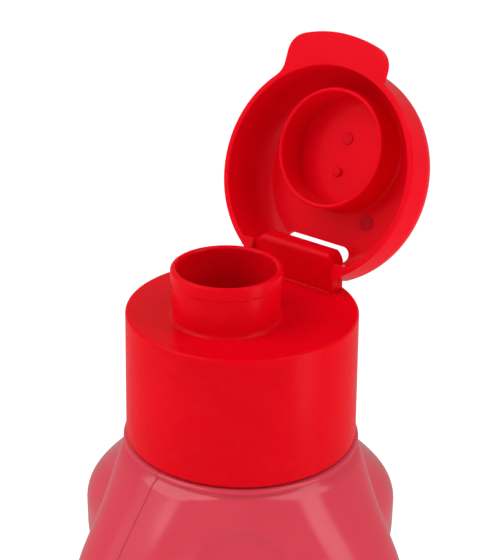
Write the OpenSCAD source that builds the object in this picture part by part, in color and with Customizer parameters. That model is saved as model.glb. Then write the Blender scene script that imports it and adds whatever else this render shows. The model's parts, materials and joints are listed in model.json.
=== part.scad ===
// Sports squeeze bottle: a blow-moulded body, a screw cap with a drinking spout, a flip-top lid and a seal.
// Sizes are in millimetres. +Z is up, the body's front panel faces -Y, and the origin is the base's centre.

/* [Body] */
// Height of the body from its base to the top of its collar
body_h = 158; // [120:1:200]
// Half of the body's width at the shoulder
shoulder_half_w = 42.6; // [36:0.1:48]
// Half of the body's width at the waist, where the hand squeezes
waist_half_w = 36; // [30:0.1:42]
// Half of the body's width at the lower bulge
lower_half_w = 40; // [34:0.1:46]
// Half of the body's width where it meets the floor
foot_half_w = 33; // [26:0.1:36]
// Squareness of the body's plan below the shoulder, where 2 is round
body_square = 3; // [2:0.1:4]
// Thickness of the body's wall
body_wall = 1.2; // [0.8:0.1:2]
// Height of the shoulder, from the widest place to the collar
shoulder_h = 36; // [24:1:44]
// Height of the hollow under the base
push_up = 3; // [1:0.5:6]
// Depth of the finger grips down the body's sides
grip_depth = 7; // [0:0.5:9]
// Angle over which a finger grip fades out to the front and to the back
grip_spread = 20; // [12:1:30]

/* [Neck] */
// Outer radius of the collar under the cap
collar_r = 27.3; // [26:0.1:32]
// Outer radius of the neck
neck_r = 23.7; // [20:0.1:27]
// Thickness of the neck's wall
neck_wall = 1.7; // [1.2:0.1:2.5]

/* [Thread] */
// Rise of the thread in one turn
thread_pitch = 5; // [3:0.5:8]
// Number of turns on the neck and in the cap
thread_turns = 1.25; // [0.75:0.25:2]
// Height of a thread's section at its root
thread_w = 1.9; // [1:0.1:3]
// Depth of a thread's section
thread_depth = 1.1; // [0.8:0.1:1.5]
// Clearance between a thread's crest and the wall opposite it
thread_gap = 0.4; // [0.3:0.05:0.8]

/* [Cap] */
// Height of the cap's skirt, deck included
skirt_h = 31.5; // [24:0.5:40]
// Thickness of the skirt's wall
skirt_wall = 1.8; // [1.4:0.1:2.6]
// How much wider the skirt's foot is than its top, on the radius
skirt_draft = 0.45; // [0:0.05:1]
// Thickness of the deck
deck_t = 2; // [1.5:0.1:3]
// Gap between the skirt and the collar
cap_gap = 0.5; // [0.3:0.1:2]
// Turn of the cap about the body when it is screwed down
cap_angle = -38.8; // [-180:0.1:180]

/* [Spout] */
// Height of the spout above the deck
spout_h = 12.3; // [8:0.1:16]
// Outer radius of the spout's lip
spout_lip_r = 12.75; // [10:0.05:14]
// Radius of the spout's bore
spout_bore_r = 11.3; // [8:0.05:12]
// Distance of the spout's axis in front of the cap's axis
spout_off = 5.7; // [0:0.1:8]

/* [Lid] */
// Height of the closed lid above the deck
lid_h = 14; // [12:0.1:18]
// How far the lid's wall stands inside the skirt's top edge
lid_inset = 0.5; // [0:0.1:1.5]
// Thickness of the lid's roof and wall
lid_wall = 1.5; // [1.2:0.1:2.5]
// Outer radius of the round between the lid's wall and its roof
lid_round = 7; // [3:0.5:11]
// Gap between the closed lid and the deck, all round the rim
rim_gap = 0.3; // [0.2:0.05:0.6]
// Reach of the thumb tab beyond the lid's wall
tab_reach = 6.25; // [3:0.25:10]
// Half of the thumb tab's width
tab_half_w = 13.9; // [8:0.1:18]
// How far the thumb tab stands to one side of the lid's middle
tab_shift = -2; // [-4:0.1:4]
// Thickness of the thumb tab
tab_t = 2.2; // [1.4:0.1:3]
// Angle between the closed and the open lid
lid_open = 112; // [90:1:113]
// Half of the length of the slot behind the hinge lug
slot_half_l = 9.5; // [6:0.1:11]
// How far the slot stands to one side of the lid's middle
slot_shift = -1.6; // [-4:0.1:4]

/* [Hinge] */
// Half of the hinge lug's width
lug_half_w = 11.6; // [8:0.1:14]
// Height of the hinge lug above the deck
lug_h = 9.7; // [8:0.1:10]
// Radius of the round at each end of the lug's top
lug_end_r = 3.5; // [0.5:0.25:5]
// Depth of the hinge lug in front of the lid's wall
lug_depth = 7.1; // [5:0.1:9]
// Height of the hinge axis above the deck
hinge_z = 4.4; // [4:0.1:5]
// Distance of the hinge axis inside the lid's wall
hinge_inset = 4.5; // [4:0.1:6]
// Radius of the lid's hinge trunnions
trunnion_r = 1.6; // [1:0.05:2]
// Length of each trunnion in the lug
trunnion_l = 2.4; // [1:0.1:4]
// Running clearance of the trunnions, on the radius
trunnion_fit = 0.05; // [0.01:0.01:0.1]
// Side clearance between the lug and the lid
lug_gap = 0.4; // [0.2:0.05:0.8]

/* [Seal] */
// Thickness of the neck seal
seal_t = 1.5; // [1:0.1:3]
// Clearance on each face of the neck seal
seal_fit = 0.05; // [0:0.01:0.2]

/* [Hidden] */
$fn = 96;
eps = 0.01;
over = 1;
// how far a thread or a skin is sunk in the wall it joins
root_in = 0.3;

// Heights, from the base up
cap_z = body_h + cap_gap;
deck_z = cap_z + skirt_h;
roof_z = deck_z - deck_t;
neck_top = roof_z - seal_t - 2 * seal_fit;
shoulder_z = body_h - shoulder_h;
waist_z = 0.54 * body_h;
lower_z = 0.25 * body_h;
floor_t = 1.8;
grip_fade = 22;
neck_block = 8;

// Radii of the neck, its thread and the cap's inside
bore_r = neck_r - neck_wall;
skirt_in_r = neck_r + thread_depth + thread_gap;
skirt_top_r = skirt_in_r + skirt_wall;
skirt_foot_r = skirt_top_r + skirt_draft;
seal_side_gap = 0.4;
seal_lap = 1;
seal_out_r = skirt_in_r - seal_side_gap;
seal_in_r = bore_r - seal_lap;

// Thread starts: the cap's runs half a pitch under the neck's
lead_in = 1.5;
neck_thread_z = neck_top - lead_in - thread_w - thread_turns * thread_pitch;
cap_thread_z = neck_thread_z - thread_pitch / 2;

// The lid's outline, from the deck up, in the cap's frame
lid_r = skirt_top_r - lid_inset;
lid_in_r = lid_r - lid_wall;
lid_round_in = lid_round - lid_wall;
hinge_y = lid_r - hinge_inset;
lug_y = lid_r - lug_depth;
edge_r = 0.5;
lug_skin = 0.3;
end_gap = 0.3;
ear_w = 3.2;
ear_top = 8.2;
ear_depth = 10;
ear_hold = 0.5;
plug_off = spout_off + 0.3;
plug_in_r = spout_lip_r + 0.75;
plug_wall = 1.1;
plug_h = 8.3;

function smooth(t) = t <= 0 ? 0 : t >= 1 ? 1 : t * t * (3 - 2 * t);
function mix(a, b, t) = a + (b - a) * t;
function arc(cx, cy, r, from, to, steps) =
    [for (i = [0:steps]) [cx + r * cos(mix(from, to, i / steps)), cy + r * sin(mix(from, to, i / steps))]];

// Half of the body's width below the shoulder: heel, lower bulge and waist
function flank_w(z) =
    z >= waist_z ? mix(waist_half_w, shoulder_half_w, smooth((z - waist_z) / (shoulder_z - waist_z)))
    : z >= lower_z ? mix(lower_half_w, waist_half_w, smooth((z - lower_z) / (waist_z - lower_z)))
    : mix(lower_half_w, foot_half_w, pow(1 - z / lower_z, 4));

// Down the shoulder the front swells straight from the collar and the back swells later
function front_swell(t) = 1 - pow(1 - t, 1.6);
function back_swell(t) = smooth(1.17 * t);
function shoulder_w(a, z) = let (t = (body_h - z) / shoulder_h, back = smooth(0.5 + 2 * sin(a)))
    mix(collar_r, shoulder_half_w, mix(front_swell(t), back_swell(t), back));
function side_w(a, z) = z >= shoulder_z ? shoulder_w(a, z) : flank_w(z);

function squareness(z) = 2 + (body_square - 2) * smooth((body_h - z) / (0.83 * shoulder_h));
function plan_r(a, w, n) = w / pow(pow(abs(cos(a)), n) + pow(abs(sin(a)), n), 1 / n);
function grip_line(z) = smooth((body_h - z) / grip_fade) * smooth((z - lower_z) / (waist_z - lower_z));
function grip_in(a, z) = grip_depth * grip_line(z) * exp(-pow(acos(abs(cos(a))) / grip_spread, 2));
function body_r(a, z) = plan_r(a, side_w(a, z), squareness(z)) - grip_in(a, z);

// One ring of the body's skin, set in from the outside by inset
ring_sides = 60;
function body_ring(z, inset) =
    [for (i = [0:ring_sides - 1]) let (a = 360 * i / ring_sides, r = body_r(a, z) - inset)
        [r * cos(a), r * sin(a), z]];
function flat_ring(r, z) =
    [for (i = [0:ring_sides - 1]) let (a = 360 * i / ring_sides) [r * cos(a), r * sin(a), z]];
function scaled_ring(z, k, up) =
    [for (p = body_ring(z, 0)) [p[0] * k, p[1] * k, z + up]];

// Skin between rings of equal count, closed at both ends by a flat polygon
function skin_faces(rings, sides) =
    [for (k = [0:rings - 2], i = [0:sides - 1]) let (j = (i + 1) % sides)
        each [[k * sides + i, (k + 1) * sides + i, (k + 1) * sides + j],
              [k * sides + i, (k + 1) * sides + j, k * sides + j]]];

// Closed shell of the body: up the outside, over the collar, and down the inside
module body_shell() {
    steps_out = 26;
    steps_in = 22;
    neck_in_r = bore_r - root_in;
    inside_top = body_h - 3;
    inside_floor = floor_t + push_up;
    floor_r = 8;
    z_out = [for (k = [0:steps_out]) body_h * pow(k / steps_out, 1.25)];
    z_in = [for (k = [0:steps_in]) mix(inside_top, inside_floor, pow(k / steps_in, 0.85))];
    rings = concat(
        [scaled_ring(0, 0.68, push_up), scaled_ring(0, 0.84, 0)],
        [for (z = z_out) body_ring(z, 0)],
        [flat_ring(neck_in_r, body_h)],
        [for (z = z_in) z > body_h - neck_block ? flat_ring(neck_in_r, z) : body_ring(z, body_wall)],
        [flat_ring(floor_r, inside_floor)]);
    last = len(rings) - 1;
    points = [for (r = rings, p = r) p];
    bottom = [for (i = [0:ring_sides - 1]) i];
    inside = [for (i = [ring_sides - 1:-1:0]) last * ring_sides + i];
    polyhedron(points, concat([bottom], skin_faces(last + 1, ring_sides), [inside]), convexity = 6);
}

// Helical thread that tapers into the wall at both ends. side is 1 on a neck and -1 in a cap.
module thread(r, z0, side) {
    steps = 40;
    count = round(steps * thread_turns);
    run = 6;
    start = 0.4;
    tip = 0.32 * thread_w;
    root_r = r - side * root_in;
    points = [for (i = [0:count]) let (a = 360 * i / steps, z = z0 + thread_pitch * i / steps,
            grow = min(1, (i + start) / run, (count - i + start) / run),
            crest_r = r + side * thread_depth * grow)
        each [[root_r * cos(a), root_r * sin(a), z],
              [crest_r * cos(a), crest_r * sin(a), z + tip],
              [crest_r * cos(a), crest_r * sin(a), z + thread_w - tip],
              [root_r * cos(a), root_r * sin(a), z + thread_w]]];
    quads = [for (k = [0:count - 1], i = [0:3]) let (j = (i + 1) % 4)
        each side < 0
            ? [[k * 4 + i, (k + 1) * 4 + j, k * 4 + j], [k * 4 + i, (k + 1) * 4 + i, (k + 1) * 4 + j]]
            : [[k * 4 + i, k * 4 + j, (k + 1) * 4 + j], [k * 4 + i, (k + 1) * 4 + j, (k + 1) * 4 + i]]];
    ends = side < 0
        ? [[0, 1, 2, 3], [for (i = [3:-1:0]) count * 4 + i]]
        : [[3, 2, 1, 0], [for (i = [0:3]) count * 4 + i]];
    polyhedron(points, concat(quads, ends), convexity = 8);
}

module bottle_body() {
    color([0.88, 0.35, 0.43])
    difference() {
        union() {
            body_shell();
            translate([0, 0, body_h - over]) cylinder(h = neck_top - body_h + over, r = neck_r);
            thread(neck_r, neck_thread_z, 1);
        }
        translate([0, 0, body_h - neck_block - over])
            cylinder(h = neck_top - body_h + neck_block + 2 * over, r = bore_r);
    }
}

// Side outline of the hinge lug, extruded along the hinge: its back is round about the hinge axis
module lug_side() {
    round_r = 1.5;
    back_r = lug_h - hinge_z;
    polygon(concat(
        [[hinge_y + back_r, -over], [lug_y, -over]],
        arc(lug_y + round_r, lug_h - round_r, round_r, 180, 90, 6),
        arc(hinge_y, hinge_z, back_r, 90, 0, 12)));
}

// Front outline of the hinge lug, with its top rounded at both ends
module lug_front() {
    centre_x = lug_half_w - lug_end_r;
    centre_z = lug_h - lug_end_r;
    polygon(concat(
        [[-lug_half_w, -over], [lug_half_w, -over]],
        arc(centre_x, centre_z, lug_end_r, 0, 90, 8),
        arc(-centre_x, centre_z, lug_end_r, 90, 180, 8)));
}

// The lid's outer outline turned about the cap's axis, set in by inset
module lid_envelope(inset) {
    r = lid_round - inset;
    rotate_extrude() polygon(concat(
        [[0, -over], [lid_r - inset, -over]],
        arc(lid_r - lid_round, lid_h - lid_round, r, 0, 90, 12),
        [[0, lid_h - inset]]));
}

module hinge_lug() {
    difference() {
        intersection() {
            translate([-lug_half_w, 0, 0]) rotate([90, 0, 90]) linear_extrude(2 * lug_half_w) lug_side();
            translate([0, lid_r + over, 0]) rotate([90, 0, 0]) linear_extrude(lid_r) lug_front();
            lid_envelope(lug_skin);
        }
        for (side = [-1, 1])
            translate([side * (lug_half_w + over), hinge_y, hinge_z]) rotate([0, -90 * side, 0])
                cylinder(h = trunnion_l + end_gap + over, r = trunnion_r + trunnion_fit);
    }
}

module spout() {
    lip_out = 0.35;
    tube_r = spout_lip_r - lip_out;
    lip = (spout_lip_r - spout_bore_r) / 2;
    flare = 1.7;
    rotate_extrude() polygon(concat(
        [[0, -deck_t / 2], [tube_r + flare, -deck_t / 2]],
        arc(tube_r + flare, flare, flare, -90, -180, 8),
        [[tube_r, spout_h - 3 * lip]],
        arc(spout_lip_r - lip, spout_h - lip, lip, 0, 170, 10),
        [[0, spout_h - lip]]));
}

// The cap in its own frame, whose origin is the centre of the deck's top
module cap_shape() {
    difference() {
        union() {
            rotate_extrude() polygon(concat(
                [[skirt_in_r, -skirt_h], [skirt_foot_r, -skirt_h]],
                arc(skirt_top_r - edge_r, -edge_r, edge_r, 0, 90, 6),
                [[0, 0], [0, -deck_t], [skirt_in_r, -deck_t]]));
            translate([0, -spout_off, 0]) spout();
            hinge_lug();
            translate([0, 0, -deck_z]) thread(skirt_in_r, cap_thread_z, -1);
        }
        translate([0, -spout_off, -deck_t - over]) cylinder(h = deck_t + spout_h + 2 * over, r = spout_bore_r);
    }
}

module screw_cap() {
    color([0.86, 0.04, 0.12])
    translate([0, 0, deck_z]) rotate([0, 0, cap_angle]) cap_shape();
}

// Outline of the thumb tab: round front corners on an arc about the cap's axis
module tab_outline() {
    corner = 5;
    reach_r = lid_r + tab_reach;
    root_y = 8 - lid_in_r;
    corner_x = tab_half_w - corner;
    corner_y = sqrt(pow(reach_r - corner, 2) - corner_x * corner_x);
    turn = asin(corner_x / (reach_r - corner));
    polygon(concat(
        [[-tab_half_w, root_y]],
        arc(-corner_x, -corner_y, corner, 180, 270 - turn, 8),
        arc(0, 0, reach_r, 270 - turn + 2, 270 + turn - 2, 14),
        arc(corner_x, -corner_y, corner, 270 + turn, 360, 8),
        [[tab_half_w, root_y]]));
}

module lid_slot() {
    half_w = 2;
    end_x = slot_half_l - half_w;
    translate([slot_shift, lug_y - 1, 0]) linear_extrude(lid_h + over) union() {
        square([2 * end_x, 2 * half_w], center = true);
        for (side = [-1, 1])
            translate([side * end_x, 0]) circle(r = half_w);
    }
}

module hinge_ear(side) {
    ear_y = lug_y + 0.3;
    inner_x = lug_half_w + lug_gap;
    intersection() {
        translate([side > 0 ? inner_x : -inner_x - ear_w, ear_y, rim_gap])
            cube([ear_w, ear_depth, ear_top - rim_gap]);
        lid_envelope(eps);
    }
}

module trunnion(side) {
    end_x = lug_half_w - trunnion_l;
    translate([side * end_x, hinge_y, hinge_z]) rotate([0, 90 * side, 0])
        cylinder(h = trunnion_l + lug_gap + ear_hold, r = trunnion_r);
}

// What the heel of the lid loses so that it clears the deck while it swings
module heel_cut() {
    half = lug_half_w + lug_gap + ear_w;
    difference() {
        translate([-half, hinge_y, -over]) cube([2 * half, ear_depth, hinge_z + over]);
        translate([0, hinge_y, hinge_z]) rotate([0, 90, 0])
            cylinder(h = 3 * lid_r, r = hinge_z - rim_gap, center = true);
    }
}

// The lid's dome and tab, without its ring, ears and trunnions
module lid_dome() {
    swing_r = 6.6;
    cut_half = lug_half_w + lug_gap;
    cut_front = lug_y - 0.6;
    cut_top = lug_h + 0.3;
    cut_depth = 12;
    roof_cut_y = hinge_y + 2.2;
    root_r = lid_in_r + 0.2;
    difference() {
        union() {
            rotate_extrude() polygon(concat(
                [[lid_in_r, rim_gap], [lid_r, rim_gap]],
                arc(lid_r - lid_round, lid_h - lid_round, lid_round, 0, 90, 12),
                [[0, lid_h], [0, lid_h - lid_wall]],
                arc(lid_r - lid_round, lid_h - lid_round, lid_round_in, 90, 0, 12)));
            translate([0, 0, rim_gap]) linear_extrude(tab_t) difference() {
                translate([tab_shift, 0]) tab_outline();
                circle(r = root_r);
            }
        }
        translate([-cut_half, cut_front, -over]) cube([2 * cut_half, cut_depth, cut_top + over]);
        translate([0, hinge_y, hinge_z]) rotate([0, 90, 0])
            cylinder(h = 2 * cut_half, r = swing_r, center = true);
        translate([-cut_half, roof_cut_y, 0]) cube([2 * cut_half, cut_depth, lid_h]);
        lid_slot();
    }
}

// The closed lid in the cap's frame
module lid_shape() {
    difference() {
        union() {
            lid_dome();
            for (side = [-1, 1])
                hinge_ear(side);
        }
        heel_cut();
    }
    for (side = [-1, 1])
        trunnion(side);
    translate([0, -plug_off, lid_h - lid_wall - plug_h]) difference() {
        cylinder(h = plug_h + root_in, r = plug_in_r + plug_wall);
        translate([0, 0, -over]) cylinder(h = plug_h + over, r = plug_in_r);
    }
}

module flip_lid() {
    color([0.9, 0.08, 0.16])
    translate([0, 0, deck_z]) rotate([0, 0, cap_angle])
        translate([0, hinge_y, hinge_z]) rotate([-lid_open, 0, 0]) translate([0, -hinge_y, -hinge_z])
            lid_shape();
}

module neck_seal() {
    color([0.93, 0.93, 0.9])
    translate([0, 0, neck_top + seal_fit]) difference() {
        cylinder(h = seal_t, r = seal_out_r);
        translate([0, 0, -over]) cylinder(h = seal_t + 2 * over, r = seal_in_r);
    }
}

bottle_body();
screw_cap();
flip_lid();
neck_seal();
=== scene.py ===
import json
import math
import bpy
from mathutils import Matrix, Vector


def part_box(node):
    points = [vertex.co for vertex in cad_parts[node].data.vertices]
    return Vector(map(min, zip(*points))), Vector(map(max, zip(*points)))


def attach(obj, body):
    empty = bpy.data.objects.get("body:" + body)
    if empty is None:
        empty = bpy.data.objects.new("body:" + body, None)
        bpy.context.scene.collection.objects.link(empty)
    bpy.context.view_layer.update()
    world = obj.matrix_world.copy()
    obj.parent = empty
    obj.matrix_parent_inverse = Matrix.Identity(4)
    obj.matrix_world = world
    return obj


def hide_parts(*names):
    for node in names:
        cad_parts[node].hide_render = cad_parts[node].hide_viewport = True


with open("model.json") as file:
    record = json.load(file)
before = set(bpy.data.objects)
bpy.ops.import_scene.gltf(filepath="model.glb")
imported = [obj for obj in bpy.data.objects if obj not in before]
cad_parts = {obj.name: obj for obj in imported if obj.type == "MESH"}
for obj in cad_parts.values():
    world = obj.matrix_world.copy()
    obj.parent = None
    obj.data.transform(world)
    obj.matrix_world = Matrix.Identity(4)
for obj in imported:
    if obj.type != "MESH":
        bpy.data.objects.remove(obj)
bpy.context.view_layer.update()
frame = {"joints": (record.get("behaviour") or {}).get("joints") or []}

mm = 0.001
joints = {joint["name"]: joint for joint in frame["joints"]}
lidHinge = joints["lid_hinge"]
hingePlace = Vector(lidHinge["pos_m"])
hingeAxis = Vector(lidHinge["axis"]).normalized()
closingAngle = math.radians(lidHinge["range_deg"][1])
capAngle = math.atan2(hingeAxis.y, hingeAxis.x)
capHeight = 31.5 * mm
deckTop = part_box("screw_cap")[0].z + capHeight

# the cap's own frame: its origin is the middle of the deck, and -Y is the side with the thumb tab
capPlace = Matrix.Translation((0, 0, deckTop)) @ Matrix.Rotation(capAngle, 4, "Z")
lidOpening = (Matrix.Translation(hingePlace) @ Matrix.Rotation(-closingAngle, 4, hingeAxis)
              @ Matrix.Translation(-hingePlace))
hingeInCap = capPlace.inverted() @ hingePlace


def deselectAll():
    for thing in list(bpy.context.selected_objects):
        thing.select_set(False)


def choose(thing):
    deselectAll()
    thing.select_set(True)
    bpy.context.view_layer.objects.active = thing


def editAll(thing):
    choose(thing)
    bpy.ops.object.mode_set(mode="EDIT")
    bpy.ops.mesh.select_all(action="SELECT")


def leaveEdit():
    bpy.ops.object.mode_set(mode="OBJECT")


def applyLast(thing):
    choose(thing)
    bpy.ops.object.modifier_apply(modifier=thing.modifiers[-1].name)


def arcPoints(centre, radius, start, stop, count):
    # points along an arc, with its angles in degrees
    points = []
    for index in range(count + 1):
        angle = math.radians(start + (stop - start) * index / count)
        points.append((centre[0] + radius * math.cos(angle), centre[1] + radius * math.sin(angle)))
    return points


def tidyMesh(thing, merge=0.005):
    editAll(thing)
    bpy.ops.mesh.remove_doubles(threshold=merge * mm)
    bpy.ops.mesh.normals_make_consistent(inside=False)
    leaveEdit()


def drawLine(name, points, plane):
    # one vertex is extruded from point to point, in millimetres, on the XZ or the XY plane
    deselectAll()
    bpy.ops.mesh.primitive_plane_add(size=mm)
    piece = bpy.context.object
    piece.name = name
    editAll(piece)
    bpy.ops.mesh.merge(type="CENTER")

    def step(across, up):
        return (across * mm, 0, up * mm) if plane == "XZ" else (across * mm, up * mm, 0)

    bpy.ops.transform.translate(value=step(*points[0]))
    for before, after in zip(points, points[1:]):
        move = step(after[0] - before[0], after[1] - before[1])
        bpy.ops.mesh.extrude_region_move(TRANSFORM_OT_translate={"value": move})
    leaveEdit()
    return piece


def spinOutline(name, points, steps, close=True):
    # a closed outline turned about the Z axis
    loop = list(points) + ([points[0]] if close else [])
    piece = drawLine(name, loop, "XZ")
    editAll(piece)
    bpy.ops.mesh.remove_doubles(threshold=0.001 * mm)
    bpy.ops.mesh.select_all(action="SELECT")
    bpy.ops.mesh.spin(steps=steps, angle=2 * math.pi, center=(0, 0, 0), axis=(0, 0, 1))
    leaveEdit()
    tidyMesh(piece)
    return piece


def extrudeOutline(name, points, bottom, height):
    # a flat outline on the XY plane, filled and drawn up
    piece = drawLine(name, list(points) + [points[0]], "XY")
    editAll(piece)
    bpy.ops.mesh.remove_doubles(threshold=0.001 * mm)
    bpy.ops.mesh.select_all(action="SELECT")
    bpy.ops.mesh.edge_face_add()
    bpy.ops.transform.translate(value=(0, 0, bottom * mm))
    bpy.ops.mesh.extrude_region_move(TRANSFORM_OT_translate={"value": (0, 0, height * mm)})
    leaveEdit()
    tidyMesh(piece)
    return piece


def addBlock(name, low, high):
    deselectAll()
    centre = [(a + b) / 2 * mm for a, b in zip(low, high)]
    bpy.ops.mesh.primitive_cube_add(size=1, location=centre)
    block = bpy.context.object
    block.name = name
    block.scale = [(b - a) * mm for a, b in zip(low, high)]
    bpy.ops.object.transform_apply(location=True, rotation=True, scale=True)
    return block


def addRod(name, radius, start, end, sides=64):
    deselectAll()
    start, end = Vector(start) * mm, Vector(end) * mm
    along = end - start
    bpy.ops.mesh.primitive_cylinder_add(vertices=sides, radius=radius * mm, depth=along.length)
    rod = bpy.context.object
    rod.name = name
    turn = Vector((0, 0, 1)).rotation_difference(along.normalized()).to_matrix().to_4x4()
    rod.data.transform(Matrix.Translation((start + end) / 2) @ turn)
    return rod


def bevelEdges(thing, width, segments, chosen=None, angle=30):
    # rounds the edges that chosen picks, or every edge sharper than the angle
    if chosen is None:
        bevel = thing.modifiers.new("round", "BEVEL")
        bevel.limit_method = "ANGLE"
        bevel.angle_limit = math.radians(angle)
        bevel.width = width * mm
        bevel.segments = segments
        applyLast(thing)
        return
    editAll(thing)
    bpy.ops.mesh.select_all(action="DESELECT")
    leaveEdit()
    for edge in thing.data.edges:
        a, b = (thing.data.vertices[index].co / mm for index in edge.vertices)
        edge.select = chosen(a, b)
    bpy.ops.object.mode_set(mode="EDIT")
    bpy.ops.mesh.select_mode(type="EDGE")
    bpy.ops.mesh.bevel(offset=width * mm, segments=segments, affect="EDGES")
    bpy.ops.mesh.select_mode(type="VERT")
    leaveEdit()


def combine(piece, tool, operation):
    boolean = piece.modifiers.new("combine", "BOOLEAN")
    boolean.operation = operation
    boolean.solver = "EXACT"
    boolean.object = tool
    applyLast(piece)
    bpy.data.objects.remove(tool, do_unlink=True)
    return piece


def smoothByAngle(thing, angle):
    choose(thing)
    bpy.ops.object.shade_smooth_by_angle(angle=math.radians(angle))
    weighted = thing.modifiers.new("weighted", "WEIGHTED_NORMAL")
    weighted.keep_sharp = True
    weighted.weight = 60
    applyLast(thing)

# the camera looks down on the cap from in front; its focal length is for a 36 mm sensor
cameraSettings = {
    "aimBelowDeck": 10.0,
    "distance": 329.9,
    "elevation": 26.97,
    "yaw": 0.06,
    "pitch": 2.68,
    "roll": 0.58,
    "lens": 90.54,
}


def makeCamera(settings):
    elevation = math.radians(settings["elevation"])
    back = Vector((0.0, -math.cos(elevation), math.sin(elevation)))
    right = Vector((1.0, 0.0, 0.0))
    up = back.cross(right)
    aim = Vector((0.0, 0.0, deckTop - settings["aimBelowDeck"] * mm))
    place = aim + back * settings["distance"] * mm
    turn = Matrix.Rotation(math.radians(settings["yaw"]), 3, up)
    turn = turn @ Matrix.Rotation(math.radians(settings["pitch"]), 3, right)
    back, right, up = turn @ back, turn @ right, turn @ up
    roll = math.radians(settings["roll"])
    rolledRight = right * math.cos(roll) + up * math.sin(roll)
    rolledUp = up * math.cos(roll) - right * math.sin(roll)
    bpy.ops.object.camera_add(location=place)
    camera = bpy.context.object
    camera.name = "studioCamera"
    camera.rotation_euler = Matrix((rolledRight, rolledUp, back)).transposed().to_euler()
    camera.data.lens = settings["lens"]
    camera.data.sensor_width = 36.0
    camera.data.clip_start = 0.01
    bpy.context.scene.camera = camera


studioSettings = {
    "floorSize": 12.0,
    "floorColour": (0.30, 0.30, 0.30, 1.0),
    "glowColour": (1.0, 1.0, 1.0, 1.0),
    "floorGlow": 0.90,
    "skyColour": (1.0, 1.0, 1.0, 1.0),
    "skyStrength": 0.36,
    "lights": [
        # name, place, aim, width, height, watts
        ("leftBox", (-0.50, -0.10, 0.78), (0, 0, 0.16), 0.62, 0.62, 3.3),
        ("rightBox", (0.48, -0.14, 0.80), (0, 0, 0.16), 0.42, 0.62, 2.1),
        ("leftStrip", (-0.40, -0.12, 0.22), (0, 0, 0.17), 0.30, 0.40, 0.22),
        ("rightStrip", (0.29, -0.155, 0.18), (0, 0, 0.16), 0.11, 0.34, 0.28),
        ("frontBox", (-0.46, -0.76, 0.36), (0, 0, 0.21), 0.45, 0.30, 0.6),
    ],
}


def makeStudio(settings):
    world = bpy.data.worlds.new("studioSky")
    world.use_nodes = True
    sky = world.node_tree.nodes["Background"]
    sky.inputs["Color"].default_value = settings["skyColour"]
    sky.inputs["Strength"].default_value = settings["skyStrength"]
    bpy.context.scene.world = world
    for name, place, aim, width, height, watts in settings["lights"]:
        bpy.ops.object.light_add(type="AREA", location=place)
        lamp = bpy.context.object
        lamp.name = name
        lamp.data.shape = "RECTANGLE"
        lamp.data.size = width
        lamp.data.size_y = height
        lamp.data.energy = watts
        lamp.visible_camera = False
        lamp.rotation_euler = (Vector(place) - Vector(aim)).to_track_quat("Z", "Y").to_euler()
    bpy.ops.mesh.primitive_plane_add(size=settings["floorSize"], location=(0, 0, 0))
    floor = bpy.context.object
    floor.name = "floor"
    paint = bpy.data.materials.new("paleFloor")
    paint.use_nodes = True
    shader = paint.node_tree.nodes["Principled BSDF"]
    shader.inputs["Base Color"].default_value = settings["floorColour"]
    shader.inputs["Roughness"].default_value = 0.9
    shader.inputs["Specular IOR Level"].default_value = 0.1
    shader.inputs["Emission Color"].default_value = settings["glowColour"]
    shader.inputs["Emission Strength"].default_value = settings["floorGlow"]
    floor.data.materials.append(paint)
    # glossy plastic reflects the dim sky instead of the bright floor, as with black cards beside it
    floor.visible_glossy = False
    bpy.context.scene.view_settings.view_transform = "Standard"


makeCamera(cameraSettings)
makeStudio(studioSettings)
print("camera, floor and lights are in place")


class Wire:
    # a shader socket that can be used in plain arithmetic
    def __init__(self, shader, socket):
        self.shader = shader
        self.socket = socket

    def join(self, operation, other, swapped=False):
        pair = (other, self) if swapped else (self, other)
        return self.shader.node("Math", {"operation": operation}, *pair)

    def __add__(self, other):
        return self.join("ADD", other)

    def __sub__(self, other):
        return self.join("SUBTRACT", other)

    def __rsub__(self, other):
        return self.join("SUBTRACT", other, True)

    def __mul__(self, other):
        return self.join("MULTIPLY", other)

    def size(self):
        return self.shader.node("Math", {"operation": "ABSOLUTE"}, self)

    __radd__ = __add__
    __rmul__ = __mul__


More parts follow.
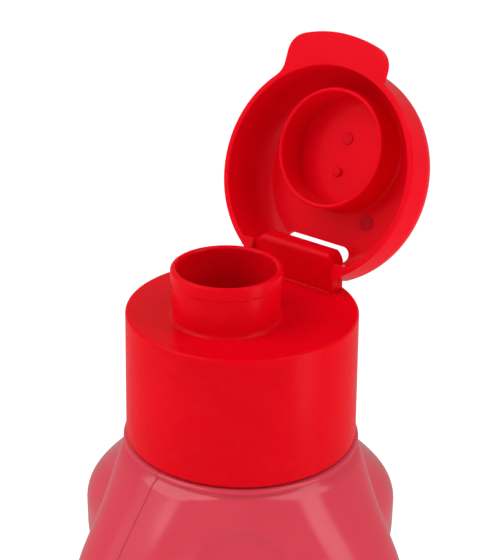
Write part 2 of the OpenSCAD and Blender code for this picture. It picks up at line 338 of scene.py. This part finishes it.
class Shader:
    # a material and the nodes that feed its surface
    def __init__(self, name):
        self.material = bpy.data.materials.new(name)
        self.material.use_nodes = True
        self.tree = self.material.node_tree
        self.surface = self.tree.nodes["Principled BSDF"]

    def node(self, kind, settings, *values, output=0, **named):
        made = self.tree.nodes.new("ShaderNode" + kind)
        for key, value in settings.items():
            setattr(made, key, value)
        for index, value in enumerate(values):
            self.put(made.inputs[index], value)
        for key, value in named.items():
            self.put(made.inputs[key], value)
        return Wire(self, made.outputs[output])

    def put(self, socket, value):
        if isinstance(value, Wire):
            self.tree.links.new(value.socket, socket)
        else:
            socket.default_value = value

    def set(self, **named):
        for key, value in named.items():
            self.put(self.surface.inputs[key.replace("_", " ")], value)

    def objectPlace(self):
        return self.node("TexCoord", {}, output="Object")

    def parts(self, place):
        split = self.tree.nodes.new("ShaderNodeSeparateXYZ")
        self.put(split.inputs[0], place)
        return [Wire(self, split.outputs[index]) for index in range(3)]

    def noise(self, place, size, detail=3.0, roughness=0.5):
        # size is the width of one blotch in millimetres
        return self.node("TexNoise", {}, Vector=place, Scale=1 / (size * mm), Detail=detail,
                         Roughness=roughness, output="Fac")

    def between(self, wire, low, high, toLow, toHigh):
        return self.node("MapRange", {}, wire, low, high, toLow, toHigh)

    def blend(self, factor, first, second):
        mixed = self.tree.nodes.new("ShaderNodeMix")
        mixed.data_type = "RGBA"
        self.put(mixed.inputs["Factor"], factor)
        self.put(mixed.inputs[6], first)
        self.put(mixed.inputs[7], second)
        return Wire(self, mixed.outputs[2])

    def bump(self, height, distance, strength=1.0, under=None):
        # distance in millimetres
        named = {"Height": height, "Distance": distance * mm, "Strength": strength}
        if under is not None:
            named["Normal"] = under
        return self.node("Bump", {}, **named)


def mouldedPlastic(name, colour, deep, roughness, settings):
    # opaque polypropylene: faint flow marks in the colour, a fine mould grain and handling scuffs
    shader = Shader(name)
    place = shader.objectPlace()
    flow = shader.noise(place, settings["flowSize"], 3.0)
    grain = shader.noise(place, settings["grainSize"], 2.0)
    scuff = shader.noise(place, settings["scuffSize"], 5.0, 0.65)
    shader.set(Base_Color=shader.blend(shader.between(flow, 0.35, 0.65, 0.0, 1.0), colour, deep))
    shader.set(Roughness=shader.between(scuff, 0.3, 0.7, roughness - 0.05, roughness + 0.06))
    ripple = shader.bump(flow, settings["flowDepth"], 0.6)
    shader.set(Normal=shader.bump(grain, settings["grainDepth"], 0.5, ripple))
    shader.set(IOR=settings["bend"], Specular_IOR_Level=settings["gloss"])
    shader.set(Subsurface_Weight=settings["scatter"])
    shader.surface.inputs["Subsurface Radius"].default_value = (1.0, 0.12, 0.10)
    shader.surface.inputs["Subsurface Scale"].default_value = settings["scatterDepth"] * mm
    return shader.material


plasticSettings = {
    "flowSize": 14.0,
    "flowDepth": 0.05,
    "grainSize": 0.5,
    "grainDepth": 0.003,
    "scuffSize": 5.0,
    "bend": 1.49,
    "gloss": 0.06,
    "scatter": 0.5,
    "scatterDepth": 2.0,
}
capPlastic = mouldedPlastic("capPlastic", (0.73, 0.0005, 0.008, 1), (0.70, 0.0004, 0.007, 1), 0.26,
                            plasticSettings)
lidPlastic = mouldedPlastic("lidPlastic", (0.78, 0.0008, 0.012, 1), (0.75, 0.0007, 0.010, 1), 0.20,
                            plasticSettings)


def translucentPlastic(name, settings):
    # soft polyethylene that light passes through: clouded, with faint vertical drag marks
    shader = Shader(name)
    place = shader.objectPlace()
    cloud = shader.noise(place, settings["cloudSize"], 3.0)
    stretched = shader.node("Mapping", {}, Vector=place, Scale=(1.0, 1.0, 0.06))
    drag = shader.noise(stretched, settings["dragSize"], 2.0)
    orange = shader.noise(place, settings["peelSize"], 2.0)
    shader.set(Base_Color=shader.blend(shader.between(cloud, 0.3, 0.7, 0.0, 1.0),
                                       settings["colour"], settings["deep"]))
    shader.set(Roughness=shader.between(cloud + drag, 0.7, 1.3, settings["roughness"] - 0.04,
                                        settings["roughness"] + 0.05))
    ripple = shader.bump(drag, settings["dragDepth"], 0.5)
    # the mould's parting line: a fine ridge where its two halves met
    across, along, up = shader.parts(place)
    turn = math.radians(settings["partingAngle"])
    aside = (across * math.sin(turn) - along * math.cos(turn)).size()
    ridge = shader.between(aside, 0.0, settings["partingWidth"] * mm, 1.0, 0.0)
    seam = shader.bump(ridge, settings["partingRise"], 1.0, ripple)
    shader.set(Normal=shader.bump(orange, settings["peelDepth"], 0.5, seam))
    shader.set(IOR=settings["bend"], Transmission_Weight=settings["transmission"])
    return shader.material


bodyPlasticSettings = {
    "colour": (0.82, 0.062, 0.100, 1),
    "deep": (0.79, 0.054, 0.090, 1),
    "roughness": 0.14,
    "bend": 1.40,
    "cloudSize": 16.0,
    "dragSize": 5.0,
    "dragDepth": 0.04,
    "peelSize": 1.6,
    "peelDepth": 0.012,
    "transmission": 0.22,
    "partingAngle": -133.0,
    "partingWidth": 0.22,
    "partingRise": 0.18,
}
bodyPlastic = translucentPlastic("bodyPlastic", bodyPlasticSettings)


def softRubber(name):
    # matt white silicone with a faint bloom
    shader = Shader(name)
    place = shader.objectPlace()
    bloom = shader.noise(place, 6.0, 4.0)
    grain = shader.noise(place, 0.3, 2.0)
    shader.set(Base_Color=shader.blend(bloom, (0.80, 0.79, 0.76, 1), (0.72, 0.71, 0.68, 1)))
    shader.set(Roughness=shader.between(bloom, 0.3, 0.7, 0.55, 0.7))
    shader.set(Normal=shader.bump(grain, 0.02, 0.5))
    return shader.material


sealRubber = softRubber("sealRubber")


def coat(piece, material):
    piece.data.materials.clear()
    piece.data.materials.append(material)


print("materials are made")


def moveAll(thing, across, along, up):
    editAll(thing)
    bpy.ops.transform.translate(value=(across * mm, along * mm, up * mm))
    leaveEdit()


def joinInto(piece, *others):
    deselectAll()
    for thing in others:
        thing.select_set(True)
    piece.select_set(True)
    bpy.context.view_layer.objects.active = piece
    bpy.ops.object.join()
    return piece


def reshape(thing, rule):
    # moves every vertex to where the rule puts it, in millimetres
    for vertex in thing.data.vertices:
        vertex.co = Vector(rule(vertex.co / mm)) * mm


def makeThread(name, root, depth, height, pitch, turns, bottom):
    # a trapezoid section run round a helix, which fades into its wall at both ends
    tip = 0.32 * height
    crest = root + depth
    outline = [(root, bottom), (crest, bottom + tip), (crest, bottom + height - tip),
               (root, bottom + height)]
    ridge = drawLine(name, outline + [outline[0]], "XZ")
    editAll(ridge)
    bpy.ops.mesh.remove_doubles(threshold=0.001 * mm)
    leaveEdit()
    screw = ridge.modifiers.new("helix", "SCREW")
    screw.angle = 2 * math.pi * turns
    screw.screw_offset = pitch * turns * mm
    screw.steps = round(64 * turns)
    screw.render_steps = screw.steps
    applyLast(ridge)

    def fade(place):
        angle = math.atan2(place.y, place.x) / (2 * math.pi) % 1
        rise = (place.z - bottom - height / 2) / pitch
        along = angle + round(rise - angle)
        share = max(0.0, min(1.0, along / 0.09, (turns - along) / 0.09))
        radius = math.hypot(place.x, place.y)
        eased = root + (radius - root) * math.sin(share * math.pi / 2)
        return (place.x * eased / radius, place.y * eased / radius, place.z)

    reshape(ridge, fade)
    editAll(ridge)
    bpy.ops.mesh.select_all(action="DESELECT")
    bpy.ops.mesh.select_mode(type="EDGE")
    bpy.ops.mesh.select_non_manifold()
    bpy.ops.mesh.fill_holes(sides=4)
    bpy.ops.mesh.select_mode(type="VERT")
    leaveEdit()
    tidyMesh(ridge, 0.0005)
    return ridge


capSize = {
    "deckRadius": 27.0,
    "footRadius": 27.45,
    "insideRadius": 25.2,
    "skirtHeight": 31.5,
    "deckThickness": 2.0,
    "deckEdge": 0.6,
    "footEdge": 0.35,
    "insideChamfer": 0.8,
    "steps": 144,
    "spoutShift": 5.7,
    "spoutHeight": 12.3,
    "spoutLip": 12.75,
    "spoutTube": 12.3,
    "spoutBand": 3.0,
    "spoutBore": 11.3,
    "spoutFlare": 1.1,
    "lugHalfWidth": 11.6,
    "lugEnd": 3.5,
    "lugFront": 19.4,
    "lugHeight": 9.7,
    "lugRound": 1.5,
    "boreRadius": 1.65,
    "boreDepth": 2.7,
    "threadDepth": 1.1,
    "threadHeight": 1.9,
    "threadPitch": 5.0,
    "threadTurns": 1.25,
    "threadBottom": -15.75,
}

lidSize = {
    "radius": 26.5,
    "height": 14.0,
    "wall": 1.5,
    "round": 7.0,
    "rimGap": 0.3,
    "rimEdge": 0.35,
    "steps": 144,
    "tabReach": 32.75,
    "tabHalfWidth": 13.9,
    "tabShift": -2.0,
    "tabCorner": 5.0,
    "tabFillets": (4.5, 1.5),
    "tabThickness": 2.2,
    "tabEdge": 0.6,
    "ringShift": 6.0,
    "ringInside": 13.5,
    "ringWall": 1.1,
    "ringBottom": 4.2,
    "slotPlace": 18.4,
    "slotShift": -1.6,
    "slotHalfLength": 9.5,
    "slotHalfWidth": 2.0,
    "hingeCutHalf": 12.0,
    "hingeCutFront": 18.8,
    "hingeCutTop": 10.0,
    "swingRadius": 6.6,
    "roofCut": 24.2,
    "earFront": 19.7,
    "earWidth": 3.2,
    "earTop": 8.2,
    "trunnionRadius": 1.6,
    "trunnionEnd": 9.2,
    # moulding marks inside the roof: across, along, radius and rise
    "marks": [
        (-0.7, -9.1, 1.5, 0.3),
        (-1.0, -0.7, 1.2, 0.8),
        (-17.2, -2.0, 1.6, 0.12),
        (10.5, 9.4, 1.8, 0.12),
    ],
}


def lidEnvelope(inset):
    # the solid that the closed lid fills, set in on every side
    size = lidSize
    centre = (size["radius"] - size["round"], size["height"] - size["round"])
    outline = [(0, -1), (size["radius"] - inset, -1)]
    outline += arcPoints(centre, size["round"] - inset, 0, 90, 16)
    outline.append((0, size["height"] - inset))
    return spinOutline("envelope", outline, 144, close=False)


def makeSpout(size):
    lip = (size["spoutLip"] - size["spoutBore"]) / 2
    flare = size["spoutFlare"]
    flareCentre = (size["spoutTube"] + flare, flare - 0.01)
    outline = [(size["spoutBore"], -2.15), (flareCentre[0], -2.15)]
    outline += arcPoints(flareCentre, flare, -90, -180, 8)
    bandLow = size["spoutHeight"] - size["spoutBand"]
    outline += [(size["spoutTube"], bandLow - 0.3), (size["spoutLip"] - 0.12, bandLow),
                (size["spoutLip"], bandLow + 0.2)]
    outline += arcPoints((size["spoutLip"] - lip, size["spoutHeight"] - lip), lip, 0, 180, 14)
    spout = spinOutline("spout", outline, 128)
    moveAll(spout, 0, -size["spoutShift"], 0)
    return spout


def makeLug(size):
    half, front, top, end = size["lugHalfWidth"], size["lugFront"], size["lugHeight"], size["lugEnd"]
    pivotY, pivotZ = hingeInCap.y / mm, hingeInCap.z / mm
    bend = size["lugRound"]
    profile = [(pivotY + top - pivotZ, -1), (front, -1)]
    profile += arcPoints((front + bend, top - bend), bend, 180, 90, 6)
    profile += arcPoints((pivotY, pivotZ), top - pivotZ, 90, 0, 14)
    lug = extrudeOutline("lug", profile, -half - 1, 2 * half + 2)
    # the outline is drawn flat, then stood up so that it runs along the hinge
    lug.data.transform(Matrix(((0, 0, 1, 0), (1, 0, 0, 0), (0, 1, 0, 0), (0, 0, 0, 1))))
    face = [(-half, -0.8), (half, -0.8)] + arcPoints((half - end, top - end), end, 0, 90, 12)
    face += arcPoints((end - half, top - end), end, 90, 180, 12)
    arch = extrudeOutline("arch", face, -31, 16)
    arch.data.transform(Matrix.Rotation(math.radians(90), 4, "X"))
    combine(lug, arch, "INTERSECT")
    combine(lug, lidEnvelope(0.3), "INTERSECT")
    foot = addBlock("foot", (0.4 - half, front - 0.7, -0.5), (half - 0.4, front + 1, 0.45))
    bevelEdges(foot, 0.3, 3, lambda a, b: min(a.z, b.z) > 0 and max(a.y, b.y) < front)
    combine(lug, foot, "UNION")
    for side in (-1, 1):
        bore = addRod("bore", size["boreRadius"], (side * (half + 1), pivotY, pivotZ),
                      (side * (half - size["boreDepth"]), pivotY, pivotZ), 48)
        combine(lug, bore, "DIFFERENCE")
    return lug


def makeCap(size):
    deck, foot, inside = size["deckRadius"], size["footRadius"], size["insideRadius"]
    edge, heel, low = size["deckEdge"], size["footEdge"], -size["skirtHeight"]
    roof = -size["deckThickness"]
    outline = [(0, 0)] + arcPoints((deck - edge, -edge), edge, 90, 0, 8)
    outline += arcPoints((foot - heel, low + heel), heel, 0, -90, 5)
    outline += arcPoints((inside + heel, low + heel), heel, -90, -180, 5)
    chamfer = size["insideChamfer"]
    outline += [(inside, roof - chamfer), (inside - chamfer, roof), (0, roof)]
    cap = spinOutline("screwCap", outline, size["steps"], close=False)
    spoutPlace = -size["spoutShift"]
    hole = addRod("hole", size["spoutBore"] + 0.5, (0, spoutPlace, -5), (0, spoutPlace, 5), 128)
    combine(cap, hole, "DIFFERENCE")
    combine(cap, makeSpout(size), "UNION")
    combine(cap, makeLug(size), "UNION")
    ridge = makeThread("capThread", inside + 0.2, -size["threadDepth"] - 0.2, size["threadHeight"],
                       size["threadPitch"], size["threadTurns"], size["threadBottom"])
    joinInto(cap, ridge)
    cap.data.transform(capPlace)
    smoothByAngle(cap, 32)
    coat(cap, capPlastic)
    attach(cap, "cap")
    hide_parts("screw_cap")
    return cap


makeCap(capSize)
print("the cap is made: skirt, deck, spout, hinge lug and thread")


def makeTab(size):
    # the tab's corners are round, and each side meets the wall in a hollow round of its own
    half, corner, reach = size["tabHalfWidth"], size["tabCorner"], size["tabReach"]
    shift, wall = size["tabShift"], size["radius"]
    cornerX = half - corner
    cornerY = math.sqrt((reach - corner) ** 2 - cornerX ** 2)
    turn = math.degrees(math.asin(cornerX / (reach - corner)))
    flanks = []
    for side, fillet in zip((-1, 1), size["tabFillets"]):
        # this flank is drawn as if it were the right one
        shifted = side * shift
        filletX = half + shifted + fillet
        filletY = math.sqrt((wall + fillet) ** 2 - filletX ** 2)
        inward = math.degrees(math.atan2(filletY, filletX))
        flank = [(x + shifted, y) for x, y in arcPoints((cornerX, -cornerY), corner, 270 + turn, 360, 8)]
        flank += arcPoints((filletX, -filletY), fillet, 180, 180 - inward, 8)
        flank.append((0.6 * filletX, -0.6 * filletY))
        flanks.append([(side * x, y) for x, y in flank])
    front = [(x + shift, y) for x, y in arcPoints((0, 0), reach, 270 - turn, 270 + turn, 16)[1:-1]]
    tab = extrudeOutline("tab", flanks[0][::-1] + front + flanks[1], size["rimGap"], size["tabThickness"])
    bevelEdges(tab, size["tabEdge"], 4, angle=60)
    core = addRod("core", size["radius"] - size["wall"] + 0.4, (0, 0, -2), (0, 0, 6), 144)
    combine(tab, core, "DIFFERENCE")
    return tab


def makeEar(size, side):
    inner, outer = size["hingeCutHalf"], size["hingeCutHalf"] + size["earWidth"]
    low, high = sorted((side * inner, side * outer))
    ear = addBlock("ear", (low, size["earFront"], size["rimGap"]), (high, 30, size["earTop"]))
    combine(ear, lidEnvelope(0.05), "INTERSECT")
    return ear


def makeHeelCut(size):
    # what the lid loses behind the hinge, so that it clears the deck while it swings
    pivotY, pivotZ = hingeInCap.y / mm, hingeInCap.z / mm
    half = size["hingeCutHalf"] + size["earWidth"]
    heel = addBlock("heel", (-half, pivotY, -1), (half, 31, pivotZ))
    wheel = addRod("wheel", pivotZ - size["rimGap"], (-half - 1, pivotY, pivotZ),
                   (half + 1, pivotY, pivotZ), 96)
    combine(heel, wheel, "DIFFERENCE")
    return heel


def makeLid(size):
    wall, radius, height, bend = size["wall"], size["radius"], size["height"], size["round"]
    edge, low = size["rimEdge"], size["rimGap"]
    centre = (radius - bend, height - bend)
    outline = [(0, height)] + arcPoints(centre, bend, 90, 0, 20)
    outline += arcPoints((radius - edge, low + edge), edge, 0, -90, 4)
    outline += arcPoints((radius - wall + edge, low + edge), edge, -90, -180, 4)
    outline += arcPoints(centre, bend - wall, 0, 90, 20)
    outline.append((0, height - wall))
    lid = spinOutline("flipLid", outline, size["steps"], close=False)
    combine(lid, makeTab(size), "UNION")

    half = size["hingeCutHalf"]
    pivotY, pivotZ = hingeInCap.y / mm, hingeInCap.z / mm
    gap = addBlock("gap", (-half, size["hingeCutFront"], -2), (half, 31, size["hingeCutTop"]))
    combine(lid, gap, "DIFFERENCE")
    swing = addRod("swing", size["swingRadius"], (-half, pivotY, pivotZ), (half, pivotY, pivotZ), 96)
    combine(lid, swing, "DIFFERENCE")
    combine(lid, addBlock("back", (-half, size["roofCut"], -1), (half, 31, height + 1)), "DIFFERENCE")

    slotEnd, slotHalf = size["slotHalfLength"] - size["slotHalfWidth"], size["slotHalfWidth"]
    middle = size["slotShift"]
    stadium = arcPoints((middle + slotEnd, size["slotPlace"]), slotHalf, -90, 90, 12)
    stadium += arcPoints((middle - slotEnd, size["slotPlace"]), slotHalf, 90, 270, 12)
    combine(lid, extrudeOutline("slot", stadium, 3, 14), "DIFFERENCE")

    for side in (-1, 1):
        combine(lid, makeEar(size, side), "UNION")
    combine(lid, makeHeelCut(size), "DIFFERENCE")
    for side in (-1, 1):
        pin = addRod("trunnion", size["trunnionRadius"], (side * size["trunnionEnd"], pivotY, pivotZ),
                     (side * (half + 0.6), pivotY, pivotZ), 48)
        bevelEdges(pin, 0.25, 3, angle=60)
        joinInto(lid, pin)

    ring, ringWall = size["ringInside"], size["ringWall"]
    ringLow, ringHigh = size["ringBottom"], height - wall
    lip = ringWall / 2
    profile = [(ring, ringHigh + 0.3), (ring, ringLow + lip)]
    profile += arcPoints((ring + lip, ringLow + lip), lip, 180, 360, 8)[1:]
    profile += arcPoints((ring + ringWall + 0.8, ringHigh - 0.8), 0.8, 180, 90, 5)
    profile.append((ring + ringWall + 0.8, ringHigh + 0.3))
    plugRing = spinOutline("plugRing", profile, 128)
    moveAll(plugRing, 0, -size["ringShift"], 0)
    combine(lid, plugRing, "UNION")

    for across, along, markRadius, rise in size["marks"]:
        mark = addRod("mark", markRadius, (across, along, ringHigh - rise),
                      (across, along, ringHigh + 0.3), 40)
        bevelEdges(mark, 0.8 * rise, 4, angle=60)
        joinInto(lid, mark)
    lid.data.transform(lidOpening @ capPlace)
    smoothByAngle(lid, 32)
    coat(lid, lidPlastic)
    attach(lid, "lid")
    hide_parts("flip_lid")
    return lid


makeLid(lidSize)
print("the lid is made: dome, thumb tab, plug ring, slot, ears and trunnions")


bodySize = {
    "height": 158.0,
    "collar": 27.3,
    "shoulder": 42.6,
    "shoulderHeight": 36.0,
    "waist": 36.0,
    "waistHeight": 85.32,
    "lower": 40.0,
    "lowerHeight": 39.5,
    "foot": 33.0,
    "square": 3.0,
    "gripDepth": 7.0,
    "gripSpread": 20.0,
    "gripFade": 22.0,
    "pushUp": 3.0,
    "wall": 1.2,
    "sides": 192,
    "neck": 23.7,
    "neckTop": 186.4,
    "threadDepth": 1.4,
    "threadHeight": 1.9,
    "threadPitch": 5.0,
    "threadTurns": 1.25,
    "threadBottom": 176.75,
    "dimplePlace": (1.0, -37.6, 140.8),
    "dimpleRadius": 11.3,
    "dimpleDepth": 1.4,
    "dimpleEdge": 2.0,
    # a low bead round the collar, with a groove under it: how far down, and how far out
    "bead": [(2.0, 0.75), (1.6, 0.45), (1.3, 0.45), (1.0, 0.75), (0.7, 0.85), (0.35, 0.75), (0.1, 0.4)],
}


def easeStep(share):
    share = max(0.0, min(1.0, share))
    return share * share * (3 - 2 * share)


def mixed(first, second, share):
    return first + (second - first) * share


def halfWidth(size, angle, height):
    # half of the body's width, from the foot to the collar
    # the front and the back of the shoulder swell differently
    top, low = size["height"] - size["shoulderHeight"], size["lowerHeight"]
    if height >= top:
        down = (size["height"] - height) / size["shoulderHeight"]
        back = easeStep(0.5 + 2 * math.sin(angle))
        swell = mixed(1 - (1 - down) ** 1.6, easeStep(1.17 * down), back)
        return mixed(size["collar"], size["shoulder"], swell)
    if height >= size["waistHeight"]:
        share = (height - size["waistHeight"]) / (top - size["waistHeight"])
        return mixed(size["waist"], size["shoulder"], easeStep(share))
    if height >= low:
        share = (height - low) / (size["waistHeight"] - low)
        return mixed(size["lower"], size["waist"], easeStep(share))
    return mixed(size["lower"], size["foot"], (1 - height / low) ** 4)


def skinRadius(size, angle, height):
    # the plan goes from round at the collar to a soft square, with a finger grip down each side
    square = 2 + (size["square"] - 2) * easeStep((size["height"] - height) / (0.83 * size["shoulderHeight"]))
    across, along = abs(math.cos(angle)), abs(math.sin(angle))
    radius = halfWidth(size, angle, height) / (across ** square + along ** square) ** (1 / square)
    line = easeStep((size["height"] - height) / size["gripFade"])
    line *= easeStep((height - size["lowerHeight"]) / (size["waistHeight"] - size["lowerHeight"]))
    aside = math.degrees(math.acos(min(1.0, across)))
    return radius - size["gripDepth"] * line * math.exp(-(aside / size["gripSpread"]) ** 2)


def makeBody(size):
    # rows of the skin, from the middle of the base to the top of the neck
    # each holds how it is set out, its height, and its share or radius
    rows = [("share", size["pushUp"], share) for share in (0.0002, 0.2, 0.4, 0.55, 0.66)]
    rows += [("share", 2.75, 0.70), ("share", 1.9, 0.74), ("share", 0.9, 0.78), ("share", 0.25, 0.82)]
    rows += [("share", 0.0, 0.86), ("share", 0.0, 0.93), ("share", 0.12, 0.975), ("share", 0.5, 0.995)]
    height = 1.4
    while height < size["height"] - 2.2:
        rows.append(("skin", height, 0))
        height += 1.1 if height > 118 else 2.2
    for down, proud in size["bead"]:
        rows.append(("round", size["height"] - down, size["collar"] + proud))
    rows.append(("round", size["height"], size["collar"]))
    neck, top = size["neck"], size["neckTop"]
    rows += [("round", size["height"], neck + 1.0)]
    rows += [("round", size["height"] + 0.3, neck + 0.3), ("round", size["height"] + 1, neck)]
    rows += [("round", size["height"] + 10, neck), ("round", top - 0.5, neck)]
    rows += [("round", top - 0.15, neck - 0.15), ("round", top, neck - 0.5)]

    deselectAll()
    bpy.ops.mesh.primitive_circle_add(vertices=size["sides"], radius=10 * mm)
    body = bpy.context.object
    body.name = "bottleBody"
    editAll(body)
    for row in rows[1:]:
        bpy.ops.mesh.extrude_region_move(TRANSFORM_OT_translate={"value": (0, 0, mm)})
    leaveEdit()
    dimple = Vector(size["dimplePlace"])

    def setOut(place):
        kind, height, value = rows[round(place.z)]
        angle = math.atan2(place.y, place.x)
        if kind == "share":
            radius = value * skinRadius(size, angle, height)
        elif kind == "skin":
            radius = skinRadius(size, angle, height)
        else:
            radius = value
        spot = Vector((radius * math.cos(angle), radius * math.sin(angle), height))
        if kind == "skin":
            inward = easeStep((size["dimpleRadius"] - (spot - dimple).length) / size["dimpleEdge"])
            spot += Vector((0, 0.7, -0.7)) * size["dimpleDepth"] * inward
        return spot

    reshape(body, setOut)
    tidyMesh(body, 0.03)
    wall = body.modifiers.new("wall", "SOLIDIFY")
    wall.thickness = size["wall"] * mm
    wall.offset = -1
    wall.use_even_offset = True
    applyLast(body)
    ridge = makeThread("neckThread", neck - 0.3, size["threadDepth"], size["threadHeight"],
                       size["threadPitch"], size["threadTurns"], size["threadBottom"])
    joinInto(body, ridge)
    smoothByAngle(body, 38)
    coat(body, bodyPlastic)
    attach(body, "bottle")
    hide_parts("bottle_body")
    return body


makeBody(bodySize)
print("the body is made: skin, wall, neck and thread")

sealSize = {
    "outside": 24.8,
    "inside": 21.0,
    "bottom": 186.45,
    "thickness": 1.5,
    "edge": 0.3,
    "ribs": [21.9, 22.9, 23.9],
}


def makeSeal(size):
    # a flat washer with three low sealing ribs underneath
    low, edge = size["bottom"] + 0.15, size["edge"]
    top = size["bottom"] + size["thickness"]
    outline = arcPoints((size["outside"] - edge, low + edge), edge, -90, 0, 4)
    outline += arcPoints((size["outside"] - edge, top - edge), edge, 0, 90, 4)
    outline += arcPoints((size["inside"] + edge, top - edge), edge, 90, 180, 4)
    outline += arcPoints((size["inside"] + edge, low + edge), edge, 180, 270, 4)
    for rib in size["ribs"]:
        outline += [(rib - 0.25, low), (rib - 0.1, size["bottom"]), (rib + 0.1, size["bottom"]),
                    (rib + 0.25, low)]
    seal = spinOutline("neckSeal", outline, 96)
    smoothByAngle(seal, 35)
    coat(seal, sealRubber)
    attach(seal, "seal")
    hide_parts("neck_seal")
    return seal


makeSeal(sealSize)
print("the seal is made")
